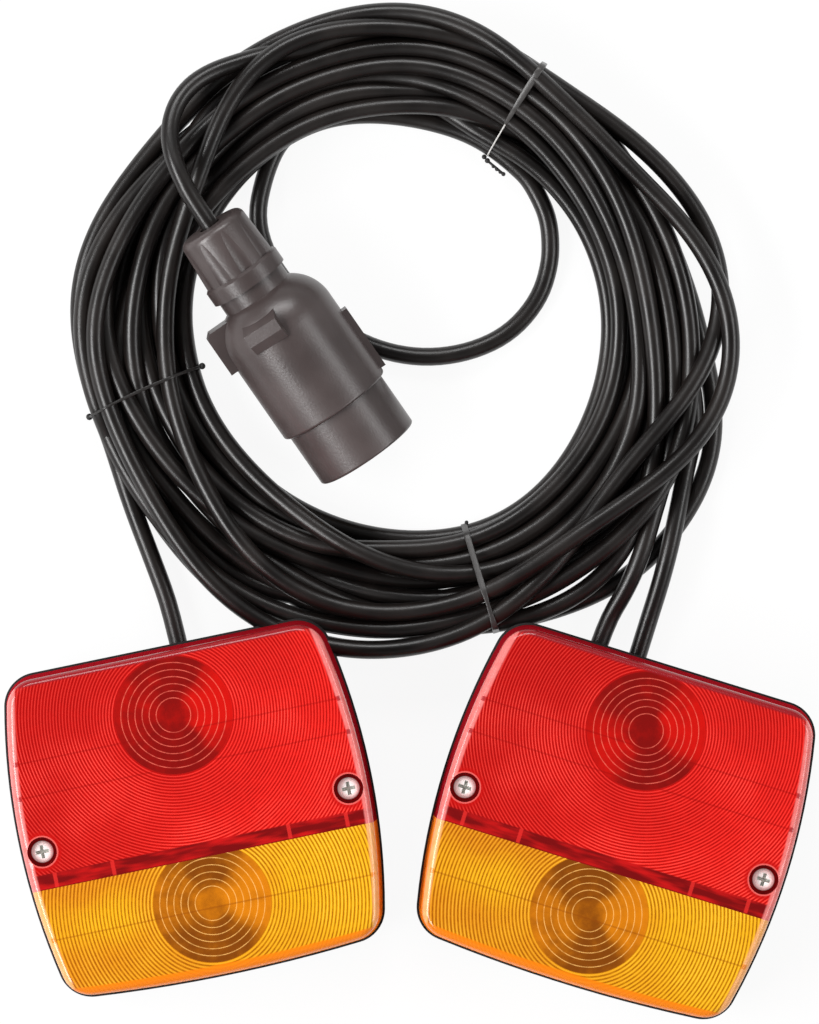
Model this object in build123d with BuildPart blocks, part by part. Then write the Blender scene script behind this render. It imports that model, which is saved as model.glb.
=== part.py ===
from build123d import *
import os
from math import cos, pi, radians, sin, sqrt, tan

os.makedirs("parts", exist_ok=True)

# A pair of rear trailer lamps with a coiled lead that ends in a seven-pin plug, in millimetres.
# The lamps lie on their backs on z = 0, lenses up. +x runs from the left lamp to the right one,
# and +y runs from the lamps to the coil. Each lamp is drawn in a frame of its own: x across,
# y from the amber end to the red end, z out of the back towards the lens.

# Lamp outline, seen from the front
lamp_width = 105.0
lamp_height = 98.0
side_bow = 5.8  # how far each side bulges between its corners
bottom_bow = 2.4
corner_radius = 10.0

# Base moulding: a dish with a flat back, sloping walls and a rim
base_depth = 14.0
back_inset = 11.0
back_corner = 4.0
flange_thickness = 2.5
floor_thickness = 2.5
wall_step = 1.6  # how much further in the hollow starts than the back does
rim_width = 3.8
ledge_width = 2.0
partition_width = 62.0
ledge_drop = 1.8  # from the rim down to the ledge that carries the reflector

# Fixing bolts through the back
bolt_spacing = 50.0
bolt_y = 4.0
bolt_hole_radius = 3.2
bolt_boss_radius = 6.0
bolt_boss_height = 3.0

# Cable ports in the sloping wall at the red end
port_radius = 4.6
port_setback = 2.0  # from the lamp's red end to the port's mouth
port_height = 4.7
left_ports = [5.0]
right_ports = [-8.0, -20.0]

# Cable, grommet and cores
cable_diameter = 5.3
cable_clearance = 0.1
bend_share = 0.45  # how much of a run each bend of the cable may take up
tail_straight = 10.0  # straight cable outside a port or the gland nut
link_straight = 7.0
plug_straight = 9.0
sheath_setback = 15.0  # from the lamp's red end to the end of the cable's sheath
grommet_wall = 0.9
grommet_fit = 0.1
grommet_head = 1.6
grommet_head_radius = 4.4
core_radius = 0.9
core_level = 9.0
core_bend = 3.0
core_turn = 6.0

# Seal and lens
seal_thickness = 1.2
seal_width = 2.2
lens_margin = 0.6  # flange that shows round the lens
lens_depth = 31.0
lens_draft = 2.0
lens_wall = 2.2
lens_face = 2.4
lens_edge = 2.3
amber_height = 35.8  # from the lamp's amber end to the line between the colours
web_thickness = 2.2

# Bullseye optics on the inner face of each lens
red_inset = 20.1  # from the lamp's red end to the middle of the red bullseye
amber_inset = 22.3
ring_first = 5.0
ring_pitch = 2.05
ring_count = 6
ring_height = 0.7
cap_height = 1.0

# Lens screws in their wells
screw_inset = 7.2  # from the lamp's side to the screw
screw_y = -2.2
tower_radius = 5.4
well_radius = 4.3
well_depth = 6.0
head_radius = 3.3
head_height = 2.8
head_edge = 1.8
shank_radius = 2.0
shank_clearance = 0.15
boss_radius = 4.4
screw_tip = 7.0
tip_clearance = 0.8
cross_width = 1.0
cross_length = 3.8
cross_depth = 1.6

# Reflector plate with its openings
plate_thickness = 1.0
plate_gap = 0.2
bolt_access_radius = 7.0
core_hole_radius = 2.2

# Bulbs, lying across the lamp, and their holders
bulb_radius = 12.5
bulb_clearance = 1.2
bulb_neck_radius = 6.6
cap_radius = 7.5
cap_length = 16.5
holder_inset = 16.1  # from the lamp's side to the back of a bulb holder
holder_clearance = 0.2
holder_wall = 0.8
holder_length = 14.5
foot_width = 12.0
foot_thickness = 1.0
post_width = 7.0
disc_thickness = 1.4
tab_length = 5.0
tab_width = 5.0
tab_thickness = 0.8

# Plug along its axis, measured from the front rim back
nose_length = 17.0
body_front_to_shoulder = 28.2
shoulder_length = 11.5
neck_length = 4.3
nut_length = 20.3
nose_radius = 16.05
body_radius = 17.5
neck_radius = 10.8
nut_radius = 12.1
thread_radius = 9.4
thread_length = 14.0
plug_fit = 0.1
skirt_wall = 2.4
skirt_depth = 14.5
carrier_length = 12.0
body_wall = 2.4
plug_edge = 0.8

# Contact pins
pin_radius = 2.3
pin_circle = 9.4
pin_recess = 4.5  # from the front rim to the pin tips
pin_tail = 5.0
pin_count = 6

# Gland nut and its seal
nut_band = 4.2
nut_rear_radius = 10.4
nut_rear_wall = 2.6
nut_hole_radius = 3.4
nut_round = 2.2
flute_count = 9
flute_radius = 5.0
flute_sink = 0.8
gland_seal_length = 3.2

# Raised features of the plug body
lug_reach = 19.6
lug_width = 8.0
lug_start = 42.0
lug_length = 13.6
lug_ramp = 1.5
rib_reach = 19.0
rib_width = 6.0
rib_start = 18.7
rib_length = 20.2
ridge_reach = 18.8
ridge_width = 11.0
ridge_start = 44.1
ridge_length = 9.5
ridge_ramp = 2.9
ridge_heel = 1.5
ridge_turn = 16.0

# Coil of cable and its ties
coil_x = -1.2
coil_y = 144.0
coil_inner = 60.0
coil_outer = 96.2
coil_height = 17.0
coil_inner_slope = 5.0
coil_outer_slope = 15.0
coil_round = 2.5
tie_thickness = 0.8
tie_clearance = 0.1
tie_width = 2.4
tie_tail = 8.0
tie_tail_radius = 1.1
tie_angles = {"upper": 63.0, "left": 194.0, "lower": 286.0}

# Places
left_lamp_x = -62.545
left_lamp_y = 2.46
left_lamp_turn = 11.7
right_lamp_x = 59.855
right_lamp_y = -1.44
right_lamp_turn = -17.2
plug_nose_x = -12.3
plug_nose_y = 106.8
plug_heading = -55.2
plug_tilt = 8.5

# Worked out from the sizes above
lamp_places = {
    "left": Location((left_lamp_x, left_lamp_y, 0), (0, 0, left_lamp_turn)),
    "right": Location((right_lamp_x, right_lamp_y, 0), (0, 0, right_lamp_turn)),
}
red_centre = lamp_height / 2 - red_inset
amber_centre = amber_inset - lamp_height / 2
colour_line = amber_height - lamp_height / 2
screw_x = lamp_width / 2 - screw_inset
port_end = lamp_height / 2 - port_setback
sheath_end = lamp_height / 2 - sheath_setback
rim_z = base_depth
flange_z = base_depth - flange_thickness
ledge_z = base_depth - ledge_drop
plate_top = ledge_z + plate_thickness
lens_z = rim_z + seal_thickness
front_z = lens_z + lens_depth
face_z = front_z - lens_face
well_z = front_z - well_depth
bulb_z = plate_top + bulb_clearance + bulb_radius
holder_radius = cap_radius + holder_clearance + holder_wall
holder_rear = holder_inset - lamp_width / 2
cap_start = holder_rear + disc_thickness + cap_length
tab_x = holder_rear - tab_length / 2
cable_radius = cable_diameter / 2
bore_radius = cable_radius + cable_clearance
sleeve_radius = bore_radius + grommet_wall
port_bore = sleeve_radius + grommet_fit
port_wall_y = lamp_height / 2 - back_inset - wall_step
colour_plane = Plane((0, colour_line, 0), x_dir=(1, 0, 0), z_dir=(0, 1, 0))
ring_outer = ring_first + ring_count * ring_pitch

body_bore = body_radius - body_wall
carrier_radius = body_bore - plug_fit
shoulder_z = -nose_length - body_front_to_shoulder
neck_z = shoulder_z - shoulder_length
nut_z = neck_z - neck_length
nut_rear_z = nut_z - nut_length
thread_end_z = nut_z - thread_length
seal_front_z = thread_end_z - plug_fit
plug_place = Location(
    Plane(
        (plug_nose_x, plug_nose_y, nose_radius * cos(radians(plug_tilt))),
        x_dir=(-sin(radians(plug_heading)), cos(radians(plug_heading)), 0),
        z_dir=(
            cos(radians(plug_heading)) * cos(radians(plug_tilt)),
            sin(radians(plug_heading)) * cos(radians(plug_tilt)),
            -sin(radians(plug_tilt)),
        ),
    )
)
coil_bottom = tie_thickness + tie_clearance
coil_axis = Axis((coil_x, coil_y, 0), (0, 0, 1))


def save(piece, name, place=Location()):
    """Puts a finished piece where it belongs and writes it."""
    placed = piece.part.moved(place)
    placed.label = name
    export_step(placed, f"parts/{name}.step")


def lamp_outline(inset, corner, mode=Mode.ADD):
    """Draws the lamp's outline, moved in by inset, in the current sketch."""
    half_width = lamp_width / 2 - inset
    half_height = lamp_height / 2 - inset
    edge_x = half_width - side_bow
    low_y = bottom_bow - half_height
    with BuildLine() as outline:
        left = ThreePointArc((-edge_x, half_height), (-half_width, 0), (-edge_x, low_y))
        bottom = ThreePointArc(left @ 1, (0, -half_height), (edge_x, low_y))
        right = ThreePointArc(bottom @ 1, (half_width, 0), (edge_x, half_height))
        Line(right @ 1, left @ 0)
        fillet(outline.vertices(), corner)
    make_face(outline.edges(), mode=mode)


def bullseye(centre_y):
    """Cuts rings and a domed centre into the lens core, so that the lens keeps them."""
    with BuildSketch(Plane((0, centre_y, face_z), x_dir=(1, 0, 0), z_dir=(0, -1, 0))) as rings:
        with BuildLine():
            dome = TangentArc((0, -cap_height), (ring_first, 0), tangent=(1, 0))
            teeth = [dome @ 1]
            for ring in range(ring_count):
                inner = ring_first + ring * ring_pitch
                teeth += [(inner, -ring_height), (inner + ring_pitch, 0)]
            steps = Polyline(*teeth)
            Polyline(steps @ 1, (ring_outer, ring_height), (0, ring_height), dome @ 0)
        make_face()
    revolve(rings.sketch, axis=Axis((0, centre_y, 0), (0, 0, 1)), mode=Mode.SUBTRACT)


def cord_tube(points):
    """A cord's tube: straight runs with an arc at each corner as large as its runs allow."""
    route = [Vector(*point) for point in points]
    radii = []
    for before, corner, after in zip(route, route[1:], route[2:]):
        first = corner - before
        second = after - corner
        turn = radians(first.get_angle(second))
        radii.append(bend_share * min(first.length, second.length) / tan(turn / 2))
    with BuildPart() as tube:
        with BuildLine() as path:
            FilletPolyline(*route, radius=radii)
        with BuildSketch(Plane(path.line @ 0, z_dir=path.line % 0)):
            Circle(cable_radius)
        sweep()
    length = sum(edge.length for edge in path.edges())
    share = tube.part.volume / (length * pi * cable_radius**2)
    print("tube", round(length), "long, radii", [round(r) for r in radii], "volume share", round(share, 4))
    return tube


def coil_section():
    """Draws the section of the coil, low at the outside, in the current sketch."""
    low = coil_bottom
    side = coil_bottom + cable_diameter
    top = coil_bottom + coil_height
    with BuildLine() as section:
        Polyline(
            (coil_inner, low),
            (coil_outer, low),
            (coil_outer, side),
            (coil_outer - coil_outer_slope, top),
            (coil_inner + coil_inner_slope, top),
            (coil_inner, side),
            close=True,
        )
        fillet(section.vertices(), coil_round)
    make_face(section.edges())


# Lamp bases

with BuildPart() as base_core:
    with BuildSketch(Plane.XY.offset(floor_thickness)):
        lamp_outline(back_inset + wall_step, back_corner)
    with BuildSketch(Plane.XY.offset(ledge_z)):
        lamp_outline(rim_width + ledge_width, back_corner)
    loft(ruled=True)
    with BuildSketch(Plane.XY.offset(ledge_z)):
        lamp_outline(rim_width, corner_radius - rim_width)
    extrude(amount=ledge_drop)
    with BuildSketch():
        with Locations((-screw_x, screw_y), (screw_x, screw_y)):
            Circle(boss_radius)
    extrude(amount=rim_z, mode=Mode.SUBTRACT)
    with BuildSketch():
        with Locations((-bolt_spacing / 2, bolt_y), (bolt_spacing / 2, bolt_y)):
            Circle(bolt_boss_radius)
    extrude(amount=floor_thickness + bolt_boss_height, mode=Mode.SUBTRACT)
    with BuildSketch():
        with Locations((0, colour_line + web_thickness / 2)):
            Rectangle(partition_width, web_thickness)
    extrude(amount=ledge_z, mode=Mode.SUBTRACT)


def make_base(ports):
    """A lamp's base moulding with one cable port at each given x."""
    with BuildPart() as base:
        with BuildSketch():
            lamp_outline(back_inset, back_corner)
        with BuildSketch(Plane.XY.offset(flange_z)):
            lamp_outline(0, corner_radius)
        loft(ruled=True)
        with BuildSketch(Plane.XY.offset(flange_z)):
            lamp_outline(0, corner_radius)
        extrude(amount=flange_thickness)
        with BuildSketch(Plane((0, port_end, port_height), x_dir=(1, 0, 0), z_dir=(0, -1, 0))):
            with Locations(*[(x, 0) for x in ports]):
                Circle(port_radius)
        extrude(amount=port_end - port_wall_y)
        add(base_core.part, mode=Mode.SUBTRACT)
        with BuildSketch(Plane((0, port_end, port_height), x_dir=(1, 0, 0), z_dir=(0, -1, 0))):
            with Locations(*[(x, 0) for x in ports]):
                Circle(port_bore)
        extrude(amount=port_end - sheath_end, mode=Mode.SUBTRACT)
        with BuildSketch(Plane.XY.offset(rim_z)):
            with Locations((-screw_x, screw_y), (screw_x, screw_y)):
                Circle(shank_radius + shank_clearance)
        extrude(amount=screw_tip - tip_clearance - rim_z, mode=Mode.SUBTRACT)
        with BuildSketch():
            with Locations((-bolt_spacing / 2, bolt_y), (bolt_spacing / 2, bolt_y)):
                Circle(bolt_hole_radius)
        extrude(amount=floor_thickness + bolt_boss_height, mode=Mode.SUBTRACT)
    return base


# Lens seal

with BuildPart() as lens_seal:
    with BuildSketch(Plane.XY.offset(rim_z)):
        lamp_outline(lens_margin, corner_radius - lens_margin)
        lamp_outline(
            lens_margin + seal_width,
            corner_radius - lens_margin - seal_width,
            mode=Mode.SUBTRACT,
        )
    extrude(amount=seal_thickness)

# Lenses: one outer form and one hollow, parted at the line between the colours

with BuildPart() as lens_outer:
    with BuildSketch(Plane.XY.offset(lens_z)):
        lamp_outline(lens_margin, corner_radius - lens_margin)
    extrude(amount=lens_depth, taper=lens_draft)
    fillet(lens_outer.faces().sort_by(Axis.Z)[-1].edges(), lens_edge)

with BuildPart() as lens_core:
    with BuildSketch(Plane.XY.offset(lens_z)):
        lamp_outline(lens_margin + lens_wall, corner_radius - lens_margin - lens_wall)
    extrude(amount=lens_depth - lens_face, taper=lens_draft)

with BuildPart() as red_core:
    add(lens_core.part)
    split(bisect_by=colour_plane.offset(web_thickness), keep=Keep.TOP)
    with BuildSketch(Plane.XY.offset(lens_z)):
        with Locations((-screw_x, screw_y), (screw_x, screw_y)):
            Circle(tower_radius)
    extrude(amount=lens_depth, mode=Mode.SUBTRACT)
    bullseye(red_centre)

with BuildPart() as amber_core:
    add(lens_core.part)
    split(bisect_by=colour_plane, keep=Keep.BOTTOM)
    bullseye(amber_centre)

with BuildPart() as red_lens:
    add(lens_outer.part)
    split(bisect_by=colour_plane, keep=Keep.TOP)
    add(red_core.part, mode=Mode.SUBTRACT)
    with BuildSketch(Plane.XY.offset(front_z)):
        with Locations((-screw_x, screw_y), (screw_x, screw_y)):
            Circle(well_radius)
    extrude(amount=-well_depth, mode=Mode.SUBTRACT)
    with BuildSketch(Plane.XY.offset(lens_z)):
        with Locations((-screw_x, screw_y), (screw_x, screw_y)):
            Circle(shank_radius + shank_clearance)
    extrude(amount=lens_depth, mode=Mode.SUBTRACT)

with BuildPart() as amber_lens:
    add(lens_outer.part)
    split(bisect_by=colour_plane, keep=Keep.BOTTOM)
    add(amber_core.part, mode=Mode.SUBTRACT)

# Lens screws

with BuildPart() as lens_screws:
    with BuildSketch(Plane.XY.offset(screw_tip)):
        with Locations((-screw_x, screw_y), (screw_x, screw_y)):
            Circle(shank_radius)
    extrude(amount=well_z - screw_tip)
    with BuildSketch(Plane.XY.offset(well_z)):
        with Locations((-screw_x, screw_y), (screw_x, screw_y)):
            Circle(head_radius)
    extrude(amount=head_height)
    fillet(lens_screws.edges().group_by(Axis.Z)[-1], head_edge)
    with BuildSketch(Plane.XY.offset(well_z + head_height)):
        with Locations((-screw_x, screw_y), (screw_x, screw_y)):
            Rectangle(cross_length, cross_width)
            Rectangle(cross_width, cross_length)
    extrude(amount=-cross_depth, mode=Mode.SUBTRACT)

# Reflector plate, which lies on the ledge

with BuildPart() as reflector:
    with BuildSketch(Plane.XY.offset(ledge_z)):
        lamp_outline(rim_width + plate_gap, corner_radius - rim_width - plate_gap)
        with Locations((-screw_x, screw_y), (screw_x, screw_y)):
            Circle(boss_radius + plate_gap, mode=Mode.SUBTRACT)
        with Locations((-bolt_spacing / 2, bolt_y), (bolt_spacing / 2, bolt_y)):
            Circle(bolt_access_radius, mode=Mode.SUBTRACT)
        with Locations((tab_x, red_centre), (tab_x, amber_centre)):
            Circle(core_hole_radius, mode=Mode.SUBTRACT)
    extrude(amount=plate_thickness)


def make_bulb(centre_y):
    """A bulb lying along x, with its cap in the holder."""
    with BuildPart() as bulb:
        with BuildSketch(Plane((0, centre_y, bulb_z), x_dir=(1, 0, 0), z_dir=(0, -1, 0))):
            neck_x = -sqrt(bulb_radius**2 - bulb_neck_radius**2)
            with BuildLine():
                stem = Polyline(
                    (bulb_radius, 0),
                    (cap_start - cap_length, 0),
                    (cap_start - cap_length, cap_radius),
                    (cap_start, cap_radius),
                    (cap_start, bulb_neck_radius),
                    (neck_x, bulb_neck_radius),
                )
                ThreePointArc(stem @ 1, (0, bulb_radius), stem @ 0)
            make_face()
        revolve(axis=Axis((0, centre_y, bulb_z), (1, 0, 0)))
    return bulb


def make_holder(centre_y):
    """A bulb holder: a sleeve on a post with a foot on the reflector plate."""
    sleeve_plane = Plane((holder_rear, centre_y, bulb_z), x_dir=(0, 1, 0), z_dir=(1, 0, 0))
    with BuildPart() as holder:
        with BuildSketch(Plane.XY.offset(plate_top)):
            with Locations((holder_rear + holder_length / 2, centre_y)):
                Rectangle(holder_length, foot_width)
        extrude(amount=foot_thickness)
        with BuildSketch(Plane.XY.offset(plate_top)):
            with Locations((holder_rear + holder_length / 2, centre_y)):
                Rectangle(holder_length, post_width)
        extrude(amount=bulb_z - plate_top)
        with BuildSketch(sleeve_plane):
            Circle(holder_radius)
        extrude(amount=holder_length)
        with BuildSketch(sleeve_plane):
            Circle(holder_radius - holder_wall)
        extrude(amount=holder_length, mode=Mode.SUBTRACT)
    return holder


def make_contact(centre_y):
    """The contact disc that closes the holder, with its terminal tab."""
    with BuildPart() as contact:
        with BuildSketch(Plane((holder_rear, centre_y, bulb_z), x_dir=(0, 1, 0), z_dir=(1, 0, 0))):
            Circle(holder_radius - holder_wall - plug_fit)
        extrude(amount=disc_thickness)
        with BuildSketch(Plane((holder_rear, centre_y, bulb_z), x_dir=(0, 1, 0), z_dir=(1, 0, 0))):
            Rectangle(tab_width, tab_thickness)
        extrude(amount=-tab_length)
    return contact


def make_grommets(ports):
    """A rubber grommet in each cable port."""
    mouth = Plane((0, port_end, port_height), x_dir=(1, 0, 0), z_dir=(0, 1, 0))
    with BuildPart() as grommets:
        with BuildSketch(mouth):
            with Locations(*[(x, 0) for x in ports]):
                Circle(sleeve_radius)
        extrude(amount=port_wall_y - port_end)
        with BuildSketch(mouth):
            with Locations(*[(x, 0) for x in ports]):
                Circle(grommet_head_radius)
        extrude(amount=grommet_head)
        with BuildSketch(mouth.offset(grommet_head)):
            with Locations(*[(x, 0) for x in ports]):
                Circle(bore_radius)
        extrude(amount=port_wall_y - port_end - grommet_head, mode=Mode.SUBTRACT)
    return grommets


def make_cores(ports):
    """Three cores from each cable: one to each contact tab and one to the reflector."""
    tab_under = bulb_z - tab_thickness / 2
    core_step = 2 * core_radius + cable_clearance
    with BuildPart() as cores:
        for place, x in enumerate(ports):
            spread = (place - (len(ports) - 1) / 2) * core_step
            left_x = x - core_step / 2
            right_x = x + core_step / 2
            earth_z = port_height + core_step * sin(radians(60))
            run_y = red_centre + spread
            turn_y = red_centre - core_turn * (place + 1)
            riser_x = tab_x + spread
            to_stop = [
                (left_x, sheath_end, port_height),
                (left_x, sheath_end - core_bend, port_height),
                (left_x - 2 * core_bend, run_y, core_level),
                (tab_x, run_y, core_level),
                (tab_x, run_y, tab_under),
            ]
            to_indicator = [
                (right_x, sheath_end, port_height),
                (right_x, turn_y, port_height),
                (right_x - 2 * core_bend, turn_y - 2 * core_bend, core_level),
                (riser_x, turn_y - 4 * core_bend, core_level),
                (riser_x, amber_centre, core_level),
                (riser_x, amber_centre, tab_under),
            ]
            to_earth = [
                (x, sheath_end, earth_z),
                (x, sheath_end - 3 * core_bend, earth_z),
                (x, sheath_end - 3 * core_bend, ledge_z),
            ]
            for route in [to_stop, to_indicator, to_earth]:
                with BuildLine() as path:
                    FilletPolyline(*route, radius=core_bend)
                with BuildSketch(Plane(path.line @ 0, z_dir=path.line % 0)):
                    Circle(core_radius)
                sweep(path=path.line)
    return cores


# Lamp pieces, written for each side

stop_bulb = make_bulb(red_centre)
stop_holder = make_holder(red_centre)
stop_contact = make_contact(red_centre)
indicator_bulb = make_bulb(amber_centre)
indicator_holder = make_holder(amber_centre)
indicator_contact = make_contact(amber_centre)

for side, ports in {"left": left_ports, "right": right_ports}.items():
    place = lamp_places[side]
    save(make_base(ports), f"{side}_base", place)
    save(make_grommets(ports), f"{side}_grommet", place)
    save(make_cores(ports), f"{side}_cores", place)
    save(lens_seal, f"{side}_lens_seal", place)
    save(red_lens, f"{side}_red_lens", place)
    save(amber_lens, f"{side}_amber_lens", place)
    save(lens_screws, f"{side}_lens_screws", place)
    save(reflector, f"{side}_reflector", place)
    save(stop_bulb, f"{side}_stop_bulb", place)
    save(stop_holder, f"{side}_stop_holder", place)
    save(stop_contact, f"{side}_stop_contact", place)
    save(indicator_bulb, f"{side}_indicator_bulb", place)
    save(indicator_holder, f"{side}_indicator_holder", place)
    save(indicator_contact, f"{side}_indicator_contact", place)

# Plug body, drawn along its own axis with the front rim at z = 0

with BuildPart() as plug_body:
    with BuildSketch(Plane.XZ):
        with BuildLine():
            shoulder = TangentArc(
                (body_radius, shoulder_z),
                (neck_radius, neck_z),
                tangent=(0, -1),
            )
            Polyline(
                shoulder @ 1,
                (neck_radius, nut_z),
                (thread_radius, nut_z),
                (thread_radius, thread_end_z),
                (nut_hole_radius, thread_end_z),
                (nut_hole_radius, neck_z),
                (body_bore, shoulder_z),
                (body_bore, -nose_length),
                (body_radius, -nose_length),
                shoulder @ 0,
            )
        make_face()
    revolve(axis=Axis.Z)
    fillet(
        plug_body.edges().filter_by(GeomType.CIRCLE).group_by(SortBy.RADIUS)[-1]
        .sort_by(Axis.Z)[-1],
        plug_edge,
    )
    with BuildSketch(Plane.XZ):
        with BuildLine():
            Polyline(
                (-neck_radius, -lug_start),
                (-lug_reach, -lug_start),
                (-lug_reach, -lug_start - lug_length + lug_ramp),
                (-lug_reach + lug_ramp, -lug_start - lug_length),
                (-neck_radius, -lug_start - lug_length),
                close=True,
            )
        make_face()
    extrude(amount=lug_width / 2, both=True)
    with BuildSketch(Plane.XZ):
        with Locations(((body_radius - body_wall / 2 + rib_reach) / 2, -rib_start - rib_length / 2)):
            Rectangle(rib_reach - body_radius + body_wall / 2, rib_length)
    extrude(amount=rib_width / 2, both=True)
    with BuildSketch(Plane.YZ.rotated((0, 0, ridge_turn))):
        with BuildLine():
            Polyline(
                (neck_radius, -ridge_start),
                (body_radius, -ridge_start),
                (ridge_reach, -ridge_start - ridge_ramp),
                (ridge_reach, -ridge_start - ridge_length + ridge_ramp),
                (neck_radius + ridge_heel, -ridge_start - ridge_length),
                (neck_radius, -ridge_start - ridge_length),
                close=True,
            )
        make_face()
    extrude(amount=ridge_width / 2, both=True)

with BuildPart() as plug_nose:
    with BuildSketch(Plane.XZ):
        with BuildLine():
            Polyline(
                (0, -skirt_depth),
                (nose_radius - skirt_wall, -skirt_depth),
                (nose_radius - skirt_wall, 0),
                (nose_radius, 0),
                (nose_radius, -nose_length),
                (carrier_radius, -nose_length),
                (carrier_radius, -nose_length - carrier_length),
                (0, -nose_length - carrier_length),
                close=True,
            )
        make_face()
    revolve(axis=Axis.Z)
    with BuildSketch(Plane.XY.offset(-skirt_depth)):
        with PolarLocations(pin_circle, pin_count):
            Circle(pin_radius + plug_fit)
        Circle(pin_radius + plug_fit)
    extrude(amount=-nose_length - carrier_length + skirt_depth, mode=Mode.SUBTRACT)
    fillet(plug_nose.edges().filter_by(GeomType.CIRCLE).group_by(Axis.Z)[-1], plug_edge)

with BuildPart() as contact_pins:
    with BuildSketch(Plane.XY.offset(-pin_recess)):
        with PolarLocations(pin_circle, pin_count):
            Circle(pin_radius)
        Circle(pin_radius)
    extrude(amount=-nose_length - carrier_length - pin_tail + pin_recess)
    chamfer(contact_pins.edges().group_by(Axis.Z)[-1], plug_edge)

with BuildPart() as gland_nut:
    with BuildSketch(Plane.XZ):
        with BuildLine():
            Polyline(
                (thread_radius + plug_fit, nut_z),
                (nut_radius, nut_z),
                (nut_radius, nut_z - nut_band),
                (nut_radius - plug_edge, nut_z - nut_band - plug_edge),
                (nut_rear_radius, nut_rear_z),
                (nut_hole_radius, nut_rear_z),
                (nut_hole_radius, nut_rear_z + nut_rear_wall),
                (thread_radius + plug_fit, nut_rear_z + nut_rear_wall),
                close=True,
            )
        make_face()
    revolve(axis=Axis.Z)
    fillet(
        gland_nut.edges().filter_by(GeomType.CIRCLE).group_by(Axis.Z)[0]
        .sort_by(SortBy.RADIUS)[-1],
        nut_round,
    )
    with BuildSketch(Plane.XY.offset(nut_rear_z)):
        with PolarLocations(nut_radius + flute_radius - flute_sink - plug_edge, flute_count):
            Circle(flute_radius)
    extrude(amount=nut_length - nut_band - plug_edge, mode=Mode.SUBTRACT)

with BuildPart() as gland_seal:
    with BuildSketch(Plane.XY.offset(seal_front_z)):
        Circle(thread_radius)
        Circle(bore_radius, mode=Mode.SUBTRACT)
    extrude(amount=-gland_seal_length)

for piece, name in [
    (plug_body, "plug_body"),
    (plug_nose, "plug_nose"),
    (contact_pins, "plug_pins"),
    (gland_nut, "plug_gland_nut"),
    (gland_seal, "plug_cable_seal"),
]:
    save(piece, name, plug_place)

# Coil of cable and the ties round it

with BuildPart() as coil:
    with BuildSketch(Plane((coil_x, coil_y, 0), x_dir=(1, 0, 0), z_dir=(0, -1, 0))):
        coil_section()
    revolve(axis=coil_axis)
save(coil, "cable_coil")

with BuildSketch() as tie_band:
    coil_section()
    offset(amount=tie_clearance + tie_thickness, mode=Mode.REPLACE)

with BuildSketch() as tie_room:
    coil_section()
    offset(amount=tie_clearance, mode=Mode.REPLACE)

for name, angle in tie_angles.items():
    outward = Vector(cos(radians(angle)), sin(radians(angle)), 0)
    across = outward.cross(Vector(0, 0, 1))
    with BuildPart() as tie:
        with BuildSketch(Plane((coil_x, coil_y, 0), x_dir=outward, z_dir=across)):
            add(tie_band.sketch)
            add(tie_room.sketch, mode=Mode.SUBTRACT)
        extrude(amount=tie_width / 2, both=True)
        knot = Vector(coil_x, coil_y, coil_bottom + cable_diameter) + outward * coil_inner
        with BuildSketch(Plane(knot - outward * tie_clearance, z_dir=-outward)):
            Circle(tie_tail_radius)
        extrude(amount=tie_tail)
    save(tie, f"tie_{name}")

# Lengths of cable outside the coil


def lamp_point(side, x, y):
    """A point on a cable port's axis, in the common frame."""
    return (lamp_places[side] * Location((x, y, port_height))).position


def plug_point(z):
    """A point on the plug's axis, in the common frame."""
    return (plug_place * Location((0, 0, z))).position


left_tail = cord_tube(
    [
        lamp_point("left", left_ports[0], sheath_end),
        lamp_point("left", left_ports[0], port_end + tail_straight),
        (-74.5, 74.6, 4.6),
        (-83.0, 89.6, 3.3),
        (-88.0, 104.1, 3.4),
        (-84.5, 118.1, 5.0),
    ]
)
right_tail = cord_tube(
    [
        lamp_point("right", right_ports[0], sheath_end),
        lamp_point("right", right_ports[0], port_end + tail_straight),
        (74.0, 69.6, 4.8),
        (80.5, 83.1, 3.4),
        (85.5, 97.6, 3.6),
        (82.5, 112.1, 6.0),
    ]
)
link_tail = cord_tube(
    [
        lamp_point("right", right_ports[1], sheath_end),
        lamp_point("right", right_ports[1], port_end + link_straight),
        (63.5, 67.1, 6.6),
        (69.5, 80.1, 7.6),
        (70.5, 93.1, 9.5),
    ]
)
plug_tail = cord_tube(
    [
        plug_point(nut_z - nut_rear_wall),
        plug_point(nut_rear_z - plug_straight),
        (-69.0, 191.1, 27.4),
        (-73.0, 202.6, 22.7),
        (-72.5, 214.1, 17.2),
        (-65.5, 222.6, 12.6),
        (-55.0, 226.1, 9.2),
        (-44.0, 224.1, 6.6),
    ]
)
inner_loop = cord_tube(
    [
        (-24.0, 205.1, 2.8),
        (-35.0, 195.6, 2.75),
        (-42.5, 185.1, 2.75),
        (-44.8, 173.1, 2.75),
        (-40.5, 161.1, 2.75),
        (-31.0, 150.6, 2.75),
        (-20.0, 142.1, 2.75),
        (-8.0, 136.5, 2.75),
        (5.0, 134.5, 2.75),
        (18.0, 136.4, 2.75),
        (29.5, 141.9, 2.75),
        (37.8, 151.6, 2.75),
        (41.8, 164.1, 2.75),
        (41.6, 176.6, 2.75),
        (38.8, 188.1, 2.75),
        (33.0, 199.1, 2.8),
    ]
)
for piece, name in [
    (left_tail, "left_lamp_tail"),
    (right_tail, "right_lamp_tail"),
    (link_tail, "link_tail"),
    (plug_tail, "plug_tail"),
    (inner_loop, "inner_loop"),
]:
    with BuildPart() as trimmed:
        add(piece.part)
        add(coil.part, mode=Mode.SUBTRACT)
    save(trimmed, name)
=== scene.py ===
import math

import bmesh
import bpy
import numpy as np
from mathutils import Matrix, Vector


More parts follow.
